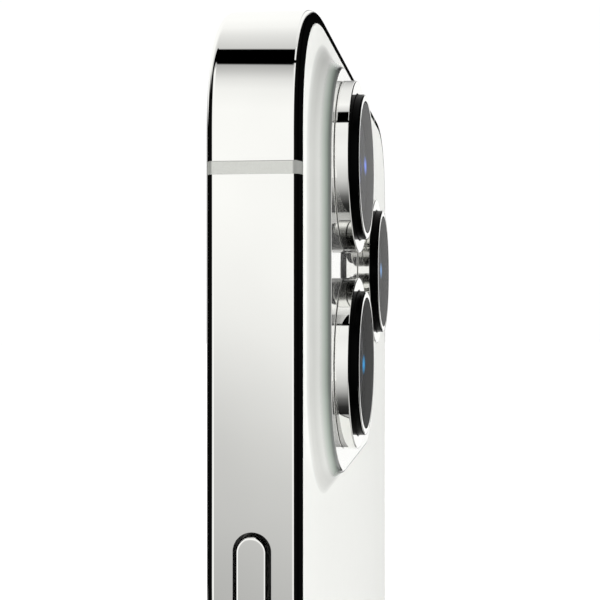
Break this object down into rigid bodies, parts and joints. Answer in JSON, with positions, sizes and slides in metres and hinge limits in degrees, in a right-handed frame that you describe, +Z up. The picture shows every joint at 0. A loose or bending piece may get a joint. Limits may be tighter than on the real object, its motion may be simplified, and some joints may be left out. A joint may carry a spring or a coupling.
{
  "type": "smartphone",
  "caption": "Flat-sided smartphone standing upright: polished steel frame, white glass back with a raised camera plateau, push buttons, switch and card tray.",
  "frame": {"origin": "middle of the bottom of the bounding box: the middle of the bottom edge that the phone stands on", "axes": "+Z up along the height, screen facing -Y, rear glass and cameras facing +Y, side button on +X, volume buttons on -X"},
  "size_m": [0.0722, 0.0112, 0.1467],
  "materials": {
    "polished_steel": "mirror-polished stainless steel",
    "antenna_plastic": "satin light grey",
    "white_rear_glass": "frosted white glass, glossy on the plateau",
    "cover_glass": "gloss",
    "lens_glass": "gloss, coated",
    "sensor_window": "gloss black",
    "black_plastic": "satin black",
    "black_anodised": "gloss black",
    "display": "unlit",
    "aluminium": "bead blasted",
    "copper_coil": "wound",
    "magnets": "nickel plated",
    "flash_diffuser": "moulded lens",
    "flex_circuit": "satin",
    "shield_can": "satin",
    "socket_metal": "satin",
    "battery_wrap": "satin",
    "circuit_board": "solder mask",
    "tungsten": "machined"
  },
  "bodies": {
    "chassis": {"frame_right_rail": "polished_steel", "frame_left_rail": "polished_steel", "frame_top_right": "polished_steel", "frame_top_left": "polished_steel", "frame_bottom_right": "polished_steel", "frame_bottom_left": "polished_steel", "antenna_break_right_top": "antenna_plastic", "antenna_break_right_bottom": "antenna_plastic", "antenna_break_left_top": "antenna_plastic", "antenna_break_left_bottom": "antenna_plastic", "antenna_break_top": "antenna_plastic", "antenna_break_bottom": "antenna_plastic", "rear_glass": "white_rear_glass", "front_glass": "cover_glass", "earpiece_grille": "black_plastic", "display_gasket": "black_plastic", "display_panel": "display", "back_plate": "aluminium", "charging_coil": "copper_coil", "magnet_ring": "magnets", "lens_ring_upper": "polished_steel", "lens_bezel_upper": "black_anodised", "lens_cover_upper": "lens_glass", "camera_module_upper": "black_plastic", "lens_ring_lower": "polished_steel", "lens_bezel_lower": "black_anodised", "lens_cover_lower": "lens_glass", "camera_module_lower": "black_plastic", "lens_ring_far": "polished_steel", "lens_bezel_far": "black_anodised", "lens_cover_far": "lens_glass", "camera_module_far": "black_plastic", "camera_tray": "aluminium", "flash_lens": "flash_diffuser", "depth_sensor_window": "sensor_window", "bottom_screw_left": "polished_steel", "bottom_screw_right": "polished_steel", "side_switch": "flex_circuit", "volume_switches": "flex_circuit", "display_flex": "flex_circuit", "charging_flex": "flex_circuit", "sim_reader": "shield_can", "board_shield": "shield_can", "haptic_housing": "shield_can", "bottom_microphone": "shield_can", "charging_socket": "socket_metal", "battery": "battery_wrap", "logic_board": "circuit_board", "loudspeaker": "black_plastic", "earpiece_speaker": "black_plastic", "front_camera": "black_plastic"},
    "side_button": {"side_button": "polished_steel"},
    "volume_up_button": {"volume_up_button": "polished_steel"},
    "volume_down_button": {"volume_down_button": "polished_steel"},
    "ring_switch": {"ring_switch": "polished_steel"},
    "sim_tray": {"sim_tray": "polished_steel"},
    "haptic_mass": {"haptic_mass": "tungsten"},
    "focus_carrier_upper": {"lens_barrel_upper": "black_plastic"},
    "focus_carrier_lower": {"lens_barrel_lower": "black_plastic"},
    "focus_carrier_far": {"lens_barrel_far": "black_plastic"}
  },
  "joints": [
    {"name": "side_button_press", "type": "slide", "parent": "chassis", "child": "side_button", "axis": [-1, 0, 0], "range_m": [0, 0.00025], "stiffness_N_per_m": 3000},
    {"name": "volume_up_press", "type": "slide", "parent": "chassis", "child": "volume_up_button", "axis": [1, 0, 0], "range_m": [0, 0.00025], "stiffness_N_per_m": 3000},
    {"name": "volume_down_press", "type": "slide", "parent": "chassis", "child": "volume_down_button", "axis": [1, 0, 0], "range_m": [0, 0.00025], "stiffness_N_per_m": 3000},
    {"name": "ring_switch_slide", "type": "slide", "parent": "chassis", "child": "ring_switch", "axis": [0, 1, 0], "range_m": [0, 0.0008]},
    {"name": "sim_tray_slide", "type": "slide", "parent": "chassis", "child": "sim_tray", "axis": [-1, 0, 0], "range_m": [0, 0.018]},
    {"name": "haptic_slide", "type": "slide", "parent": "chassis", "child": "haptic_mass", "axis": [1, 0, 0], "range_m": [-0.0008, 0.0008], "stiffness_N_per_m": 2400},
    {"name": "focus_slide_upper", "type": "slide", "parent": "chassis", "child": "focus_carrier_upper", "axis": [0, 1, 0], "range_m": [0, 0.00035], "stiffness_N_per_m": 200},
    {"name": "focus_slide_lower", "type": "slide", "parent": "chassis", "child": "focus_carrier_lower", "axis": [0, 1, 0], "range_m": [0, 0.00035], "stiffness_N_per_m": 200},
    {"name": "focus_slide_far", "type": "slide", "parent": "chassis", "child": "focus_carrier_far", "axis": [0, 1, 0], "range_m": [0, 0.00035], "stiffness_N_per_m": 200}
  ]
}
